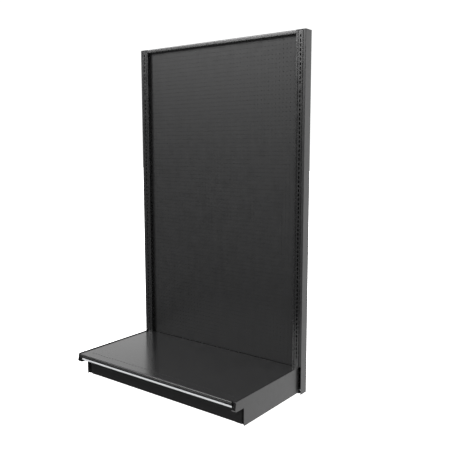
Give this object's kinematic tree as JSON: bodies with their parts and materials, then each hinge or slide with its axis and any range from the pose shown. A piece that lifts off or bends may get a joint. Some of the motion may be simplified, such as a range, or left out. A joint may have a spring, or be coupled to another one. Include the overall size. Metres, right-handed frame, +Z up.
{
  "type": "gondola shelving unit",
  "caption": "Single-sided store gondola wall unit: slotted uprights, tall back panel between rolled rails, base deck with price channel over a kick plate.",
  "frame": {"origin": "on the floor, under the middle of the unit's bounding box", "axes": "+Z up, +Y towards the back of the unit, +X to the right seen from the front"},
  "size_m": [1.286, 0.6958, 2.119],
  "materials": {
    "frame_paint": "black powder coat, semi-gloss",
    "trim_paint": "black powder coat, satin",
    "panel_board": "painted hardboard pegboard, satin black",
    "deck_paint": "black powder coat, semi-gloss",
    "dark_paint": "black powder coat, satin",
    "zinc": "zinc plated",
    "black_plastic": "black plastic, matt",
    "white_plastic": "white strip, semi-gloss"
  },
  "bodies": {
    "frame": {"upright_left": "frame_paint", "upright_cap_left": "black_plastic", "upright_foot_plate_left": "zinc", "upright_end_trim_left": "trim_paint", "upright_trim_clip_left_upper": "zinc", "upright_trim_clip_left_lower": "zinc", "panel_side_strip_left": "frame_paint", "base_bracket_left": "dark_paint", "base_end_trim_left": "trim_paint", "base_trim_clip_left_front": "zinc", "base_trim_clip_left_rear": "zinc", "leveler_nut_left_front": "zinc", "leveler_nut_left_rear": "zinc", "upright_right": "frame_paint", "upright_cap_right": "black_plastic", "upright_foot_plate_right": "zinc", "upright_end_trim_right": "trim_paint", "upright_trim_clip_right_upper": "zinc", "upright_trim_clip_right_lower": "zinc", "panel_side_strip_right": "frame_paint", "base_bracket_right": "dark_paint", "base_end_trim_right": "trim_paint", "base_trim_clip_right_front": "zinc", "base_trim_clip_right_rear": "zinc", "leveler_nut_right_front": "zinc", "leveler_nut_right_rear": "zinc", "back_panel": "panel_board", "top_rail": "frame_paint", "mid_rail_lower": "frame_paint", "mid_rail_upper": "frame_paint", "bottom_rail": "frame_paint"},
    "deck": {"base_deck": "deck_paint", "deck_stiffener_front": "deck_paint", "deck_stiffener_middle": "deck_paint", "deck_stiffener_rear": "deck_paint", "price_channel": "black_plastic", "price_insert": "white_plastic"},
    "kick": {"kick_plate": "dark_paint", "kick_hook_left": "dark_paint", "kick_hook_right": "dark_paint"},
    "pad_left_front": {"leveler_pad_left_front": "black_plastic"},
    "pad_left_rear": {"leveler_pad_left_rear": "black_plastic"},
    "pad_right_front": {"leveler_pad_right_front": "black_plastic"},
    "pad_right_rear": {"leveler_pad_right_rear": "black_plastic"},
    "stud_left_front": {"leveler_stud_left_front": "zinc"},
    "stud_left_rear": {"leveler_stud_left_rear": "zinc"},
    "stud_right_front": {"leveler_stud_right_front": "zinc"},
    "stud_right_rear": {"leveler_stud_right_rear": "zinc"}
  },
  "joints": [
    {"name": "deck_lift", "type": "slide", "parent": "frame", "child": "deck", "axis": [0, 0, 1], "range_m": [0, 0.12]},
    {"name": "kick_lift", "type": "slide", "parent": "frame", "child": "kick", "axis": [0, 0, 1], "range_m": [0, 0.013]},
    {"name": "pad_slide_left_front", "type": "slide", "parent": "frame", "child": "pad_left_front", "axis": [0, 0, -1], "range_m": [0, 0.019]},
    {"name": "stud_turn_left_front", "type": "hinge", "parent": "pad_left_front", "child": "stud_left_front", "pos_m": [-0.59, -0.218, 0.02], "axis": [0, 0, -1], "range_deg": [0, 4310]},
    {"name": "pad_slide_left_rear", "type": "slide", "parent": "frame", "child": "pad_left_rear", "axis": [0, 0, -1], "range_m": [0, 0.019]},
    {"name": "stud_turn_left_rear", "type": "hinge", "parent": "pad_left_rear", "child": "stud_left_rear", "pos_m": [-0.6096, 0.314, 0.02], "axis": [0, 0, -1], "range_deg": [0, 4310]},
    {"name": "pad_slide_right_front", "type": "slide", "parent": "frame", "child": "pad_right_front", "axis": [0, 0, -1], "range_m": [0, 0.019]},
    {"name": "stud_turn_right_front", "type": "hinge", "parent": "pad_right_front", "child": "stud_right_front", "pos_m": [0.59, -0.218, 0.02], "axis": [0, 0, -1], "range_deg": [0, 4310]},
    {"name": "pad_slide_right_rear", "type": "slide", "parent": "frame", "child": "pad_right_rear", "axis": [0, 0, -1], "range_m": [0, 0.019]},
    {"name": "stud_turn_right_rear", "type": "hinge", "parent": "pad_right_rear", "child": "stud_right_rear", "pos_m": [0.6096, 0.314, 0.02], "axis": [0, 0, -1], "range_deg": [0, 4310]}
  ],
  "couplings": [
    {"joint": "stud_turn_left_front", "follows": "pad_slide_left_front", "rad_per_m": 3957.9},
    {"joint": "stud_turn_left_rear", "follows": "pad_slide_left_rear", "rad_per_m": 3957.9},
    {"joint": "stud_turn_right_front", "follows": "pad_slide_right_front", "rad_per_m": 3957.9},
    {"joint": "stud_turn_right_rear", "follows": "pad_slide_right_rear", "rad_per_m": 3957.9}
  ]
}
